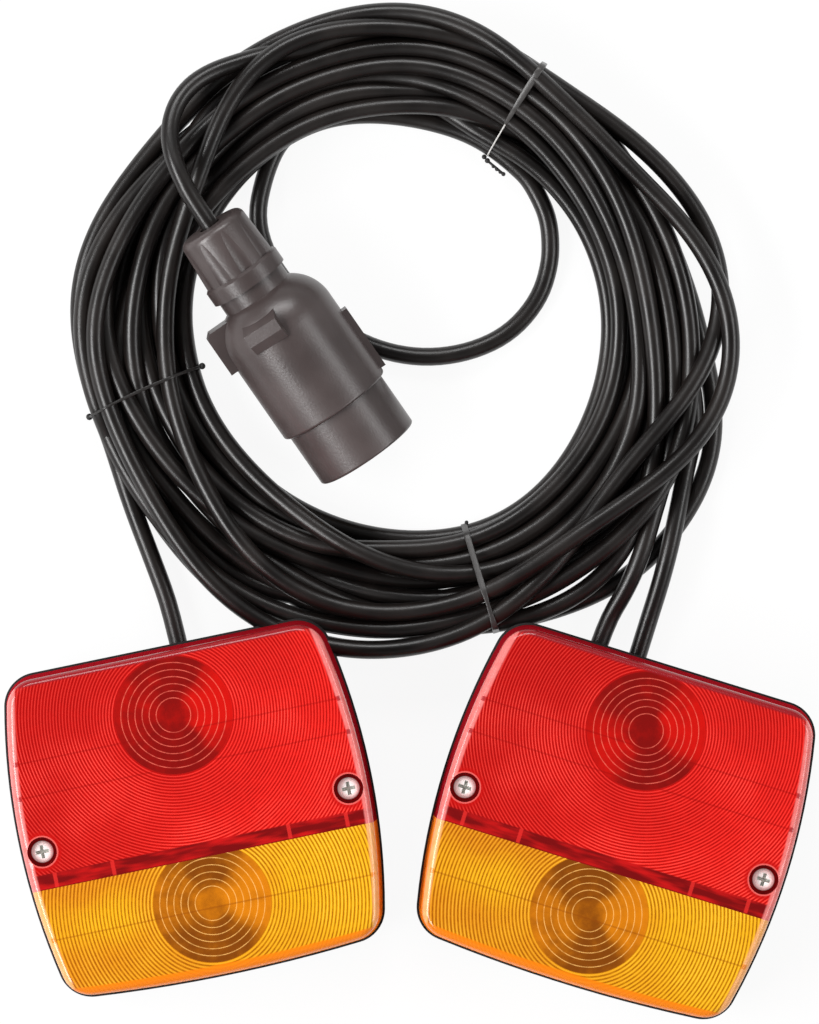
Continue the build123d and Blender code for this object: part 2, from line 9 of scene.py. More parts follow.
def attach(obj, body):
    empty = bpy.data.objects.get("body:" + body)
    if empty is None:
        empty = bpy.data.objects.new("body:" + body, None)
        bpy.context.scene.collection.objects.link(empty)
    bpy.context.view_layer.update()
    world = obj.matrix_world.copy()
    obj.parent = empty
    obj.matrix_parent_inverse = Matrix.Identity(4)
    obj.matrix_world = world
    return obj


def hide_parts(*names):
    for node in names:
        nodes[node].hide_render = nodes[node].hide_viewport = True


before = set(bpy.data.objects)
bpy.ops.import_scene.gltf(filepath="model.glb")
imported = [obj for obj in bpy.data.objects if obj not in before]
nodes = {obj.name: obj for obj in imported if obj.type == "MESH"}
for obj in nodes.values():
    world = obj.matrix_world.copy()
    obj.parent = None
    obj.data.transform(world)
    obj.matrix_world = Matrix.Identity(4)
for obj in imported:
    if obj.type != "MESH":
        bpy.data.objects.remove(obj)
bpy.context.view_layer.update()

scene = bpy.context.scene
scene.view_settings.view_transform = "Standard"
print("frame loaded:", len(nodes), "nodes")

# camera, straight above the set
shot = {"x": -0.00008, "y": 0.08956, "height": 4.0, "lens": 480.2, "near": 0.05, "far": 50.0}

cameraData = bpy.data.cameras.new("photoCamera")
cameraData.lens = shot["lens"]
cameraData.clip_start = shot["near"]
cameraData.clip_end = shot["far"]
camera = bpy.data.objects.new("photoCamera", cameraData)
camera.location = (shot["x"], shot["y"], shot["height"])
scene.collection.objects.link(camera)
scene.camera = camera
print("camera placed")


# small helpers for node trees
def tone(red, green, blue):
    parts = [c / 255 for c in (red, green, blue)]
    return tuple(c / 12.92 if c < 0.04045 else ((c + 0.055) / 1.055) ** 2.4 for c in parts) + (1.0,)


def feed(tree, socket, value):
    if isinstance(value, bpy.types.NodeSocket):
        tree.links.new(value, socket)
    else:
        socket.default_value = value


def calc(tree, operation, *values):
    node = tree.nodes.new("ShaderNodeMath")
    node.operation = operation
    for socket, value in zip(node.inputs, values):
        feed(tree, socket, value)
    return node.outputs[0]


def add(tree, first, second):
    return calc(tree, "ADD", first, second)


def minus(tree, first, second):
    return calc(tree, "SUBTRACT", first, second)


def times(tree, first, second):
    return calc(tree, "MULTIPLY", first, second)


def over(tree, first, second):
    return calc(tree, "DIVIDE", first, second)


def larger(tree, first, second):
    return calc(tree, "MAXIMUM", first, second)


def unsigned(tree, value):
    return calc(tree, "ABSOLUTE", value)


def fromCentre(tree, across, along):
    return calc(tree, "SQRT", add(tree, times(tree, across, across), times(tree, along, along)))


def ramp(tree, value, low, high, toLow=0.0, toHigh=1.0):
    node = tree.nodes.new("ShaderNodeMapRange")
    node.interpolation_type = "SMOOTHSTEP"
    settings = {"Value": value, "From Min": low, "From Max": high, "To Min": toLow, "To Max": toHigh}
    for name, setting in settings.items():
        feed(tree, node.inputs[name], setting)
    return node.outputs[0]


def mixTone(tree, share, first, second):
    node = tree.nodes.new("ShaderNodeMix")
    node.data_type = "RGBA"
    for socket, value in ((node.inputs[0], share), (node.inputs[6], first), (node.inputs[7], second)):
        feed(tree, socket, value)
    return node.outputs[2]


def noise(tree, vector, scale, detail=3.0, roughness=0.5):
    node = tree.nodes.new("ShaderNodeTexNoise")
    feed(tree, node.inputs["Vector"], vector)
    node.inputs["Scale"].default_value = scale
    node.inputs["Detail"].default_value = detail
    node.inputs["Roughness"].default_value = roughness
    return node.outputs["Fac"]


def bumpOf(tree, height, distance, strength):
    node = tree.nodes.new("ShaderNodeBump")
    node.inputs["Strength"].default_value = strength
    node.inputs["Distance"].default_value = distance
    feed(tree, node.inputs["Height"], height)
    return node.outputs["Normal"]


def objectSpace(tree):
    return tree.nodes.new("ShaderNodeTexCoord").outputs["Object"]


def axesOf(tree, vector):
    node = tree.nodes.new("ShaderNodeSeparateXYZ")
    tree.links.new(vector, node.inputs[0])
    return node.outputs


def flatPoint(tree, across, along):
    node = tree.nodes.new("ShaderNodeCombineXYZ")
    tree.links.new(across, node.inputs[0])
    tree.links.new(along, node.inputs[1])
    return node.outputs[0]


def newFinish(name):
    finish = bpy.data.materials.new(name)
    finish.use_nodes = True
    tree = finish.node_tree
    tree.nodes.clear()
    output = tree.nodes.new("ShaderNodeOutputMaterial")
    shader = tree.nodes.new("ShaderNodeBsdfPrincipled")
    tree.links.new(shader.outputs["BSDF"], output.inputs["Surface"])
    return finish, tree, shader


def dress(finish, *names):
    for name in names:
        nodes[name].data.materials.clear()
        nodes[name].data.materials.append(finish)


# floor, sky and lamps
studio = {
    "floorSize": 8.0, "floorTone": 0.9, "floorGlow": 0.92,
    "skyLight": 0.46, "skyShine": 0.36,
    "zenith": 0.25, "capStart": 0.99, "capEnd": 0.80,  # a dark ceiling overhead
    "aim": (0.0, 0.07, 0.0),
    "lamps": [  # name, place, size, watts
        ("leftSoftbox", (-1.05, -0.18, 1.05), (1.30, 0.46), 27.0),
        ("rightSoftbox", (1.15, 0.05, 0.95), (1.10, 0.40), 8.0),
        ("backSoftbox", (-0.20, 1.35, 1.05), (1.20, 0.42), 13.0),
    ],
}

floorMesh = bpy.data.meshes.new("floor")
bm = bmesh.new()
bmesh.ops.create_grid(bm, x_segments=2, y_segments=2, size=studio["floorSize"] / 2)
bm.to_mesh(floorMesh)
bm.free()
floor = bpy.data.objects.new("floor", floorMesh)
scene.collection.objects.link(floor)

floorFinish = bpy.data.materials.new("paleFloor")
floorFinish.use_nodes = True
tree = floorFinish.node_tree
tree.nodes.clear()
floorOut = tree.nodes.new("ShaderNodeOutputMaterial")
matte = tree.nodes.new("ShaderNodeBsdfDiffuse")
matte.inputs["Color"].default_value = (studio["floorTone"],) * 3 + (1.0,)
glow = tree.nodes.new("ShaderNodeEmission")
path = tree.nodes.new("ShaderNodeLightPath").outputs
seen = larger(tree, path["Is Camera Ray"], larger(tree, path["Is Glossy Ray"], path["Is Transmission Ray"]))
both = tree.nodes.new("ShaderNodeMixShader")
tree.links.new(times(tree, seen, studio["floorGlow"]), both.inputs[0])
tree.links.new(matte.outputs[0], both.inputs[1])
tree.links.new(glow.outputs[0], both.inputs[2])
tree.links.new(both.outputs[0], floorOut.inputs["Surface"])
floorMesh.materials.append(floorFinish)

sky = bpy.data.worlds.new("studioSky")
scene.world = sky
sky.use_nodes = True
tree = sky.node_tree
tree.nodes.clear()
skyOut = tree.nodes.new("ShaderNodeOutputWorld")
backdrop = tree.nodes.new("ShaderNodeBackground")
path = tree.nodes.new("ShaderNodeLightPath").outputs
upward = axesOf(tree, tree.nodes.new("ShaderNodeTexCoord").outputs["Generated"])["Z"]
cap = ramp(tree, upward, studio["capEnd"], studio["capStart"], 1.0, studio["zenith"])
shine = larger(tree, path["Is Glossy Ray"], path["Is Transmission Ray"])
level = times(tree, cap, ramp(tree, shine, 0.0, 1.0, studio["skyLight"], studio["skyShine"]))
level = larger(tree, level, path["Is Camera Ray"])
tree.links.new(level, backdrop.inputs["Strength"])
tree.links.new(backdrop.outputs[0], skyOut.inputs["Surface"])

for name, place, size, watts in studio["lamps"]:
    lampData = bpy.data.lights.new(name, "AREA")
    lampData.shape = "RECTANGLE"
    lampData.size, lampData.size_y = size
    lampData.energy = watts
    lamp = bpy.data.objects.new(name, lampData)
    lamp.location = place
    aim = Vector(studio["aim"]) - Vector(place)
    lamp.rotation_euler = aim.to_track_quat("-Z", "Y").to_euler()
    lamp.visible_camera = False
    scene.collection.objects.link(lamp)
print("floor, sky and lamps set")

# the lead: two cables wound into one coil, with its edges by degrees, in millimetres from its middle
coil = {
    "diameter": 0.0053,
    "sheathSides": 5, "sheathSteps": 5,  # roundness of the sheath and smoothness along it
    "centre": (-0.0012, 0.1444),
    "grow": 1.014,  # the outer and inner edges and the windings are taken times this
    "step": 5,  # degrees from one point of a turn to the next
    "edgeSmooth": 5, "turnSmooth": 3,  # reach of the smoothing, in degrees and in points
    "outer": {
        0: 96.4, 10: 95.1, 20: 93.2, 30: 89.6, 40: 86.2, 50: 83.8, 56: 83.0, 62: 84.0, 70: 86.8, 80: 90.7,
        90: 93.1, 100: 92.9, 110: 92.3, 120: 91.8, 130: 91.3, 140: 90.6, 150: 91.9, 160: 95.0, 170: 97.5,
        175: 97.9, 180: 97.5, 190: 95.0, 200: 94.0, 212: 93.0, 222: 93.6, 230: 95.2, 240: 98.0, 250: 98.9,
        260: 98.2, 270: 96.1, 280: 93.4, 286: 92.8, 295: 94.4, 300: 96.3, 310: 99.5, 320: 101.3, 330: 100.5,
        338: 98.4, 345: 97.2, 352: 97.7,
    },
    "inner": {
        0: 56.4, 20: 56.1, 38: 56.1, 49: 52.2, 56: 52.8, 62: 53.8, 68: 55.0, 73: 55.3, 82: 56.0, 92: 57.4,
        102: 59.3, 112: 61.2, 130: 61.5, 150: 61.9, 170: 61.9, 182: 61.2, 200: 60.2, 215: 59.1, 230: 58.5,
        250: 58.7, 262: 58.8, 275: 59.6, 290: 60.6, 305: 60.2, 320: 58.6, 335: 57.2, 350: 56.5,
    },
    "lowRank": 10.0,  # turns below this rank stay inside the low line, which leaves the gaps at the right open
    "low": {
        0: 84.9, 5: 83.6, 10: 82.0, 15: 80.9, 20: 80.6, 25: 80.4, 30: 79.4, 35: 78.4, 40: 80.5, 45: 99.0,
        345: 99.0, 350: 89.9, 355: 87.3,
    },
    "tieLift": 1.0, "tieCrest": 1.4, "tieFade": 15,  # the turns ride up where a tie passes under them
}
# each winding by degrees: distance from the coil's middle in millimetres, and how high it lies among the turns
windings = {
    "first": {  # from the right lamp to the loose inner loop
        -20: (85.2, 4), -15: (83.0, 4), -10: (81.2, 4), 0: (78.4, 4), 30: (74.0, 4), 60: (73.0, 4),
        90: (75.0, 4), 120: (77.0, 4), 150: (81.0, 4), 170: (86.0, 5), 180: (87.0, 6), 186: (85.3, 7),
        197: (81.4, 7), 212: (78.0, 7), 225: (76.0, 6), 240: (74.0, 5), 260: (73.6, 4), 274: (76.0, 4),
        287: (76.4, 4), 300: (73.5, 4), 320: (72.0, 4), 340: (74.0, 4), 360: (75.0, 3), 390: (72.0, 3),
        420: (70.0, 3), 450: (70.0, 3), 480: (72.0, 3), 510: (76.0, 3), 540: (83.0, 4), 560: (85.5, 5),
        573: (82.8, 6), 585: (81.4, 6), 592: (80.6, 5), 600: (82.2, 3), 610: (84.9, 1), 620: (86.8, 0),
        630: (87.8, 0), 640: (89.0, 0), 650: (91.3, 0), 660: (93.9, 0), 670: (97.0, 0), 680: (98.7, 0),
        690: (98.4, 0), 695: (97.6, 0), 700: (96.0, 0), 704: (93.2, 0), 708: (90.3, 0), 712: (87.7, 0),
        716: (85.4, 0), 720: (83.6, 1), 730: (81.0, 2), 740: (79.5, 2), 750: (77.0, 1), 770: (75.0, 1),
        790: (76.0, 1), 810: (81.0, 1), 830: (84.0, 1), 850: (85.0, 1), 870: (87.0, 1), 885: (89.5, 1),
        900: (89.0, 1), 920: (88.0, 1), 940: (90.0, 1), 960: (93.4, 1), 968: (95.0, 1), 980: (95.6, 1),
        990: (92.5, 1), 1005: (88.0, 1), 1020: (86.0, 1), 1035: (83.0, 2), 1050: (81.0, 2), 1065: (80.0, 2),
        1080: (77.0, 2), 1110: (68.0, 3), 1140: (66.5, 4), 1170: (65.0, 6), 1190: (64.0, 6), 1210: (64.0, 6),
        1230: (64.6, 5.5), 1250: (65.0, 4), 1270: (67.0, 3), 1290: (69.0, 2), 1310: (69.0, 2), 1330: (68.0, 2),
        1350: (64.8, 3), 1370: (64.5, 4), 1390: (64.3, 4), 1410: (64.5, 4), 1425: (64.0, 4), 1440: (63.5, 3),
        1460: (62.5, 3), 1480: (62.0, 3), 1500: (62.5, 3), 1520: (64.0, 2), 1540: (66.0, 2), 1560: (68.0, 2),
        1590: (69.0, 2), 1620: (66.0, 2), 1640: (64.0, 2), 1660: (62.5, 2), 1680: (61.6, 2), 1695: (61.4, 2),
        1710: (61.8, 3), 1720: (62.6, 3), 1730: (63.2, 3), 1740: (63.1, 3), 1750: (62.5, 3), 1760: (61.2, 3),
        1770: (60.2, 3), 1780: (59.6, 3), 1790: (59.1, 3), 1800: (59.0, 3), 1820: (58.8, 4), 1840: (59.0, 4),
        1850: (60.0, 4), 1860: (61.0, 4), 1870: (62.0, 4), 1880: (64.5, 3), 1890: (66.5, 1), 1900: (68.0, 0),
        1910: (67.3, 0), 1920: (65.0, 0), 1925: (63.6, 0),
    },
    "last": {  # from the inner loop to the plug
        50: (54.3, 1), 55: (55.2, 1), 60: (56.3, 1), 65: (57.3, 1), 70: (58.0, 1), 80: (58.6, 1), 90: (59.8, 1),
        100: (61.6, 1), 110: (63.6, 2), 130: (65.0, 3), 150: (65.2, 4), 170: (64.8, 4), 180: (64.1, 4),
        195: (63.2, 6), 205: (62.4, 7), 215: (61.7, 7), 225: (61.2, 7), 235: (61.6, 7), 245: (63.2, 7),
        255: (65.6, 7), 265: (68.5, 7), 275: (71.5, 7), 285: (74.4, 7), 295: (76.0, 6), 310: (75.5, 6),
        320: (74.0, 6), 330: (72.5, 6), 345: (70.8, 6), 360: (68.3, 6), 372: (67.0, 6.5), 382: (66.3, 6.5),
        392: (66.5, 6.5), 400: (67.6, 6.5), 410: (69.5, 6.5), 420: (71.5, 6.5), 430: (73.8, 6.5),
        440: (76.5, 6.5), 450: (78.0, 6), 470: (78.5, 6), 490: (78.0, 6), 510: (78.0, 6.5), 520: (77.6, 6.5),
        530: (77.0, 6.5), 540: (76.7, 6.5), 550: (77.0, 6.5), 560: (76.3, 6), 570: (75.5, 5), 580: (75.5, 4),
        595: (77.0, 4.2), 610: (79.2, 5), 625: (82.6, 5), 640: (87.0, 4), 650: (90.0, 3), 655: (91.5, 3),
        660: (92.4, 3), 665: (92.6, 3), 670: (91.9, 3), 675: (89.7, 3), 680: (86.9, 4), 685: (83.9, 5),
        690: (81.0, 6), 695: (78.3, 7), 700: (75.5, 7.5), 705: (72.6, 8), 712: (69.9, 8), 720: (68.5, 8),
        730: (68.0, 8), 740: (69.0, 8), 750: (70.8, 8), 760: (73.0, 8), 770: (74.7, 8), 780: (76.5, 8),
        790: (78.0, 7.5), 800: (79.0, 7.5), 810: (79.5, 7.5), 820: (80.3, 7.5), 830: (80.8, 7.5),
        840: (80.2, 7.5), 850: (79.6, 8), 860: (80.2, 8.5), 870: (82.5, 9.5), 880: (84.4, 9.5),
        890: (87.4, 9.5), 895: (89.2, 9.5), 900: (90.6, 9.5), 905: (91.1, 9.5), 910: (90.7, 9.5),
        920: (88.9, 9.5), 930: (88.0, 9.5), 940: (89.2, 9.5), 950: (92.1, 9.5), 960: (95.0, 9.5),
        970: (96.0, 9.5), 980: (95.2, 9.5), 990: (93.3, 9.5), 1000: (90.2, 9.5), 1010: (86.0, 9.5),
        1020: (81.5, 9), 1025: (79.3, 9), 1030: (77.0, 9.5), 1035: (75.3, 10), 1040: (74.3, 10),
        1050: (75.0, 10), 1060: (79.3, 10), 1070: (85.2, 10), 1075: (87.7, 10), 1080: (90.4, 10),
        1085: (92.2, 10), 1090: (92.6, 10), 1100: (90.6, 10), 1110: (87.2, 10), 1120: (83.6, 10),
        1130: (81.1, 10), 1140: (80.4, 10), 1150: (82.5, 10.5), 1160: (85.5, 11), 1170: (87.0, 11.5),
        1180: (87.9, 12), 1190: (89.2, 12), 1200: (87.4, 12), 1210: (81.6, 12), 1220: (75.0, 12),
        1230: (71.3, 11.5), 1240: (70.0, 11.5), 1260: (69.0, 11.5), 1280: (70.7, 11.5), 1290: (72.2, 11.5),
        1300: (74.5, 11.5), 1310: (78.0, 11.5), 1320: (81.5, 11.5), 1330: (84.0, 11.5), 1340: (84.5, 11.5),
        1350: (84.0, 11.5), 1360: (83.0, 11.5), 1370: (81.0, 11.5), 1380: (79.0, 12), 1390: (78.2, 12),
        1400: (80.5, 12), 1410: (86.0, 12), 1420: (92.3, 12), 1430: (95.1, 12), 1440: (93.9, 12),
        1450: (89.9, 12), 1460: (84.4, 12), 1465: (81.4, 12), 1470: (78.4, 12), 1475: (77.0, 12),
        1480: (76.7, 12), 1490: (76.7, 12), 1500: (78.8, 12), 1506: (81.2, 12), 1512: (84.5, 12),
        1520: (88.2, 11.5), 1530: (90.5, 11), 1540: (90.3, 10), 1550: (89.6, 10), 1560: (89.2, 9.5),
        1570: (88.3, 9), 1580: (87.6, 8), 1590: (89.2, 7), 1600: (92.4, 6), 1610: (94.9, 6), 1615: (95.2, 6),
        1620: (94.8, 6), 1630: (92.2, 6), 1640: (91.0, 6), 1660: (90.5, 5.5), 1675: (91.8, 5.5),
        1685: (91.0, 5.5), 1693: (89.0, 5.5), 1705: (88.8, 5.5), 1720: (87.0, 5.5), 1740: (84.0, 5.5),
        1760: (86.0, 6), 1770: (86.4, 6), 1778: (84.6, 6.5), 1786: (82.8, 7), 1800: (81.6, 7), 1820: (79.0, 8),
        1840: (78.5, 8.5), 1860: (79.5, 9), 1880: (82.0, 9), 1900: (84.6, 9), 1910: (86.2, 9),
    },
    "link": {  # from the left lamp to the right lamp, wound the other way
        195: (91.2, 8.5), 190: (92.0, 8.5), 185: (93.2, 8.5), 180: (93.8, 8.5), 175: (93.7, 8.5),
        170: (92.5, 8.5), 165: (90.7, 8.5), 160: (88.3, 8.5), 155: (85.9, 8), 150: (83.2, 7), 140: (80.5, 6),
        130: (78.5, 5), 120: (78.0, 5), 100: (77.0, 5), 80: (74.0, 5), 60: (70.5, 5), 40: (68.0, 5),
        20: (69.0, 5), 0: (72.5, 5), -20: (76.0, 4), -40: (77.0, 3), -60: (77.8, 2), -75: (78.3, 2),
        -90: (78.6, 2), -100: (80.2, 2), -112: (82.6, 2), -122: (87.0, 2), -135: (87.8, 2), -148: (86.3, 2),
        -160: (85.0, 2), -180: (81.6, 2), -200: (80.5, 2.5), -220: (78.0, 2.5), -240: (80.0, 2.5),
        -260: (84.0, 2.5), -275: (83.0, 2.5), -290: (78.5, 2.5), -310: (76.0, 2.5), -330: (77.5, 2.5),
        -345: (79.5, 3), -360: (81.5, 3), -375: (83.0, 3), -390: (84.0, 3), -405: (84.0, 2), -420: (83.0, 2.5),
        -440: (80.6, 4.2), -455: (79.5, 4.2), -465: (78.6, 3), -480: (76.6, 3), -500: (72.5, 3),
        -520: (70.0, 3), -540: (72.0, 3.5), -560: (73.5, 3.5), -580: (70.0, 4.5), -600: (69.6, 4.9),
        -620: (70.2, 4.9), -640: (69.0, 4.0), -660: (66.5, 3.5), -680: (64.5, 4), -700: (65.5, 4.5),
        -720: (66.0, 4.5), -740: (67.5, 4.5), -760: (66.7, 4.5), -780: (67.7, 4.5), -790: (67.6, 4.5),
        -800: (68.0, 4), -820: (67.0, 3.5), -840: (65.4, 3.5), -860: (65.4, 3.5), -880: (67.0, 3.5),
        -900: (69.5, 4.5), -930: (72.0, 4.5), -960: (73.0, 4.5), -990: (72.5, 4.5), -1020: (70.0, 4.5),
        -1050: (64.0, 4.5), -1080: (62.0, 4.5), -1110: (63.0, 4.5), -1140: (66.0, 4.5), -1155: (67.2, 4.5),
        -1165: (66.9, 4.5), -1175: (67.2, 4.5), -1185: (68.6, 4.5), -1200: (71.5, 4.5), -1230: (73.5, 4.5),
        -1260: (79.0, 5), -1290: (79.5, 5), -1320: (82.5, 5), -1350: (78.0, 5), -1380: (75.0, 5),
        -1410: (74.5, 5), -1430: (75.5, 5), -1440: (77.5, 5), -1450: (79.7, 5), -1460: (81.6, 5),
        -1465: (83.3, 5), -1470: (85.4, 5),
    },
}
# how the turns come to rest: a pull to their own line, a sinking, and a push where two are too close
settling = {
    "steps": 700, "late": 0.8, "sink": 0.10, "lateSink": 0.03, "pull": 0.03,
    "stack": 1.6, "rankDrift": 0.001,  # first height for each rank, and what a later point of one rank adds
    "passes": 2, "push": 0.33, "mostPush": 1,
    "swapRise": 0.4, "swapGap": 0.5,  # for two strands that lie in the wrong order
    "evenSpread": 0.5, "evenHeight": 0.6, "lastPasses": 2, "lastEven": 0.5,
}
# each tie: degrees round the coil at its outer and inner end, and its width in millimetres by distance from the
# coil's middle; knobs and rods are its twisted ends, as steps in millimetres, degrees and millimetres from one end
ties = {
    "upperTie": {
        "node": "tie_upper", "outer": 62.0, "inner": 64.2, "thick": 0.8, "bareBelow": 65.2,
        "widths": {55.0: 0.45, 64.9: 0.45, 65.5: 1.1, 72.0: 1.7, 78.0: 2.0, 86.0: 1.8},
        "knobs": [("inner", (-0.5, 0.7, 0.0), 0.75), ("inner", (-1.1, -0.7, 0.4), 0.8),
                  ("inner", (-1.8, -3.2, 0.5), 0.55), ("inner", (-2.0, -4.6, 0.5), 0.6),
                  ("inner", (-2.2, -6.0, 0.6), 0.55), ("inner", (-2.2, -7.2, 0.6), 0.65)],
        "rods": [("inner", (-1.1, -0.7, 0.4), (-2.2, -7.2, 0.6), 0.4)],
        "dark": tone(44, 42, 41), "pale": tone(78, 76, 75),
    },
    "leftTie": {
        "node": "tie_left", "outer": 196.3, "inner": 191.6, "thick": 0.7, "bareBelow": 0.0,
        "widths": {60.0: 0.7, 66.0: 0.9, 80.0: 1.0, 95.0: 0.6},
        "knobs": [("outer", (0.1, 0.0, 0.3), 1.0), ("inner", (-0.3, 0.0, 0.3), 1.0)],
        "rods": [],
        "dark": tone(24, 22, 21), "pale": tone(46, 44, 43),
    },
    "lowerTie": {
        "node": "tie_lower", "outer": 286.4, "inner": 286.2, "thick": 0.8, "bareBelow": 0.0,
        "widths": {60.0: 1.8, 72.0: 1.8, 80.0: 1.9, 85.0: 1.1, 89.0: 1.4, 94.0: 2.0},
        "knobs": [("inner", (-0.1, 0.9, 0.0), 0.6)],
        "rods": [],
        "dark": tone(36, 34, 34), "pale": tone(64, 62, 61),
    },
}
# the loose ends and the loop, in metres
leads = {
    "rightTail": [
        (0.06227, 0.03341, 0.0047), (0.06907, 0.05538, 0.0047), (0.0734, 0.0690, 0.0072),
        (0.0766, 0.0815, 0.0088), (0.0790, 0.0930, 0.0064), (0.0812, 0.1040, 0.0036),
    ],
    "linkTail": [
        (0.05080, 0.03695, 0.0047), (0.05672, 0.05606, 0.0047), (0.0632, 0.0666, 0.0075),
        (0.0679, 0.0775, 0.0100), (0.0709, 0.0880, 0.0100),
    ],
    "leftTail": [
        (-0.06454, 0.03677, 0.0047), (-0.06921, 0.05929, 0.0047), (-0.0750, 0.0750, 0.0046),
        (-0.0812, 0.0910, 0.0040), (-0.0852, 0.1036, 0.0050), (-0.0880, 0.1123, 0.0070),
    ],
    "plugTail": [
        (-0.04820, 0.15845, 0.02528), (-0.06300, 0.17980, 0.02916), (-0.0666, 0.1870, 0.0289),
        (-0.0692, 0.1935, 0.0275), (-0.0701, 0.2009, 0.0255), (-0.0682, 0.2082, 0.0232),
        (-0.0637, 0.2142, 0.0209), (-0.0573, 0.2182, 0.0187), (-0.0497, 0.2208, 0.0168),
        (-0.0410, 0.2234, 0.0152),
    ],
    "innerLoop": [
        (-0.0426, 0.1880, 0.00275), (-0.0452, 0.1750, 0.00275), (-0.0408, 0.1620, 0.00275),
        (-0.0310, 0.1506, 0.00275), (-0.0200, 0.1421, 0.00275), (-0.0080, 0.1365, 0.00275),
        (0.0050, 0.1345, 0.00275), (0.0180, 0.1364, 0.00275), (0.0295, 0.1419, 0.00275),
        (0.0378, 0.1516, 0.00275), (0.0411, 0.1620, 0.00275), (0.0412, 0.1705, 0.00275),
        (0.0401, 0.1766, 0.00275), (0.0376, 0.1822, 0.00275),
    ],
}


def roundEdge(knots):
    margin = 60
    degrees = np.arange(-margin, 360 + margin)
    edge = np.interp(degrees, list(knots), list(knots.values()), period=360)
    window = np.hanning(2 * coil["edgeSmooth"] + 1)
    return np.convolve(edge, window / window.sum(), mode="same")[margin:360 + margin]


def windTurns(knots):
    ends = list(knots)
    way = 1 if ends[-1] > ends[0] else -1
    total = np.arange(ends[0], ends[-1] + way, way * coil["step"])
    window = np.hanning(2 * coil["turnSmooth"] + 1)
    lines = []
    for part in range(2):
        line = np.interp(way * total, [way * d for d in ends], [knots[d][part] for d in ends])
        line = np.pad(line, coil["turnSmooth"], mode="edge")
        lines.append(np.convolve(line, window / window.sum(), mode="valid"))
    return total, *lines


def offTie(tie):
    middle = (tie["outer"] + tie["inner"]) / 2
    return np.abs((angles - middle + 180) % 360 - 180)


def evenOut(values, amount):
    out = values.copy()
    for span in spans.values():
        line = values[span]
        out[span.start + 1:span.stop - 1] += amount * ((line[:-2] + line[2:]) / 2 - line[1:-1])
    return out


def between(values):
    return values[table][:, :, None] - values[table][:, None, :]


radius = coil["diameter"] / 2 * 1000
thick = coil["diameter"] * 1000
innerLine = roundEdge(coil["inner"]) * coil["grow"] + radius
outerLine = roundEdge(coil["outer"]) * coil["grow"] - radius
turns = {name: windTurns(knots) for name, knots in windings.items()}
spans, begun = {}, 0
for name, turn in turns.items():
    count = len(turn[0])
    spans[name] = slice(begun, begun + count)
    begun += count
angles = np.concatenate([t[0] for t in turns.values()])
wanted = np.concatenate([t[1] for t in turns.values()]) * coil["grow"]
ranks = np.concatenate([t[2] for t in turns.values()]) + settling["rankDrift"] * np.arange(len(angles))
least, most = innerLine[angles % 360], outerLine[angles % 360]
lowLine = np.interp(angles % 360, list(coil["low"]), list(coil["low"].values()), period=360)
most = np.where(ranks < coil["lowRank"], np.minimum(most, lowLine), most)
wanted = np.clip(wanted, least, most)

# strands that pass the same place push each other apart and sink until they rest on what lies below
stations = 360 // coil["step"]
station = (angles % 360) // coil["step"]
table = -np.ones((stations, np.bincount(station).max()), int)
filled = np.zeros(stations, int)
for index, place in enumerate(station):
    table[place, filled[place]] = index
    filled[place] += 1
used = table >= 0
pairs = used[:, :, None] & used[:, None, :] & ~np.eye(table.shape[1], dtype=bool)[None]
higher = np.sign(between(ranks))
bed = np.full(len(angles), thick / 2)
for tie in ties.values():
    bed += coil["tieLift"] * np.clip(coil["tieCrest"] - offTie(tie) / coil["tieFade"], 0, 1)
spread, height = wanted.copy(), bed + settling["stack"] * ranks
mostPush = settling["mostPush"]
for step in range(settling["steps"]):
    spread += settling["pull"] * (wanted - spread)
    height -= settling["sink" if step < settling["late"] * settling["steps"] else "lateSink"]
    for again in range(settling["passes"]):
        across, above = between(spread), between(height)
        swapped = above * higher < 0
        rise = np.where(swapped, higher * settling["swapRise"] * thick, above)
        reach = np.sqrt(across ** 2 + rise ** 2) + 1e-6
        apart = np.where(swapped, np.abs(across) * settling["swapGap"], np.sqrt(across ** 2 + above ** 2))
        close = np.where(swapped, np.abs(across), apart) < thick
        push = np.where(pairs & close, thick - apart, 0) * settling["push"] / reach
        spread[table[used]] += np.clip((push * across).sum(2)[used], -mostPush, mostPush)
        height[table[used]] += np.clip((push * rise).sum(2)[used], -mostPush, mostPush)
        spread = np.clip(spread, least, most)
        height = np.maximum(height, bed)
    spread = np.clip(wanted + evenOut(spread - wanted, settling["evenSpread"]), least, most)
    height = np.maximum(evenOut(height, settling["evenHeight"]), bed)
for again in range(settling["lastPasses"]):  # ease the last kinks
    spread = evenOut(spread, settling["lastEven"])
    height = np.maximum(evenOut(height, settling["lastEven"]), bed)
print("coil settled, top at", round(height.max() + thick / 2, 1), "mm")


def turnPoints(name):
    span = spans[name]
    turned = np.radians(angles[span])
    x = coil["centre"][0] + spread[span] / 1000 * np.cos(turned)
    y = coil["centre"][1] + spread[span] / 1000 * np.sin(turned)
    return list(zip(x, y, height[span] / 1000))


def makeLead(name, route):
    line = bpy.data.curves.new(name, "CURVE")
    line.dimensions = "3D"
    line.bevel_depth = 1.0  # the points carry the sheath's radius
    line.bevel_resolution = coil["sheathSides"]
    line.use_fill_caps = True
    spline = line.splines.new("NURBS")
    spline.points.add(len(route) - 1)
    for point, at in zip(spline.points, route):
        point.co = (*at, 1.0)
        point.radius = coil["diameter"] / 2
    spline.order_u = 3
    spline.use_endpoint_u = True
    spline.resolution_u = coil["sheathSteps"]
    lead = bpy.data.objects.new(name, line)
    scene.collection.objects.link(lead)
    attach(lead, "root")
    return lead


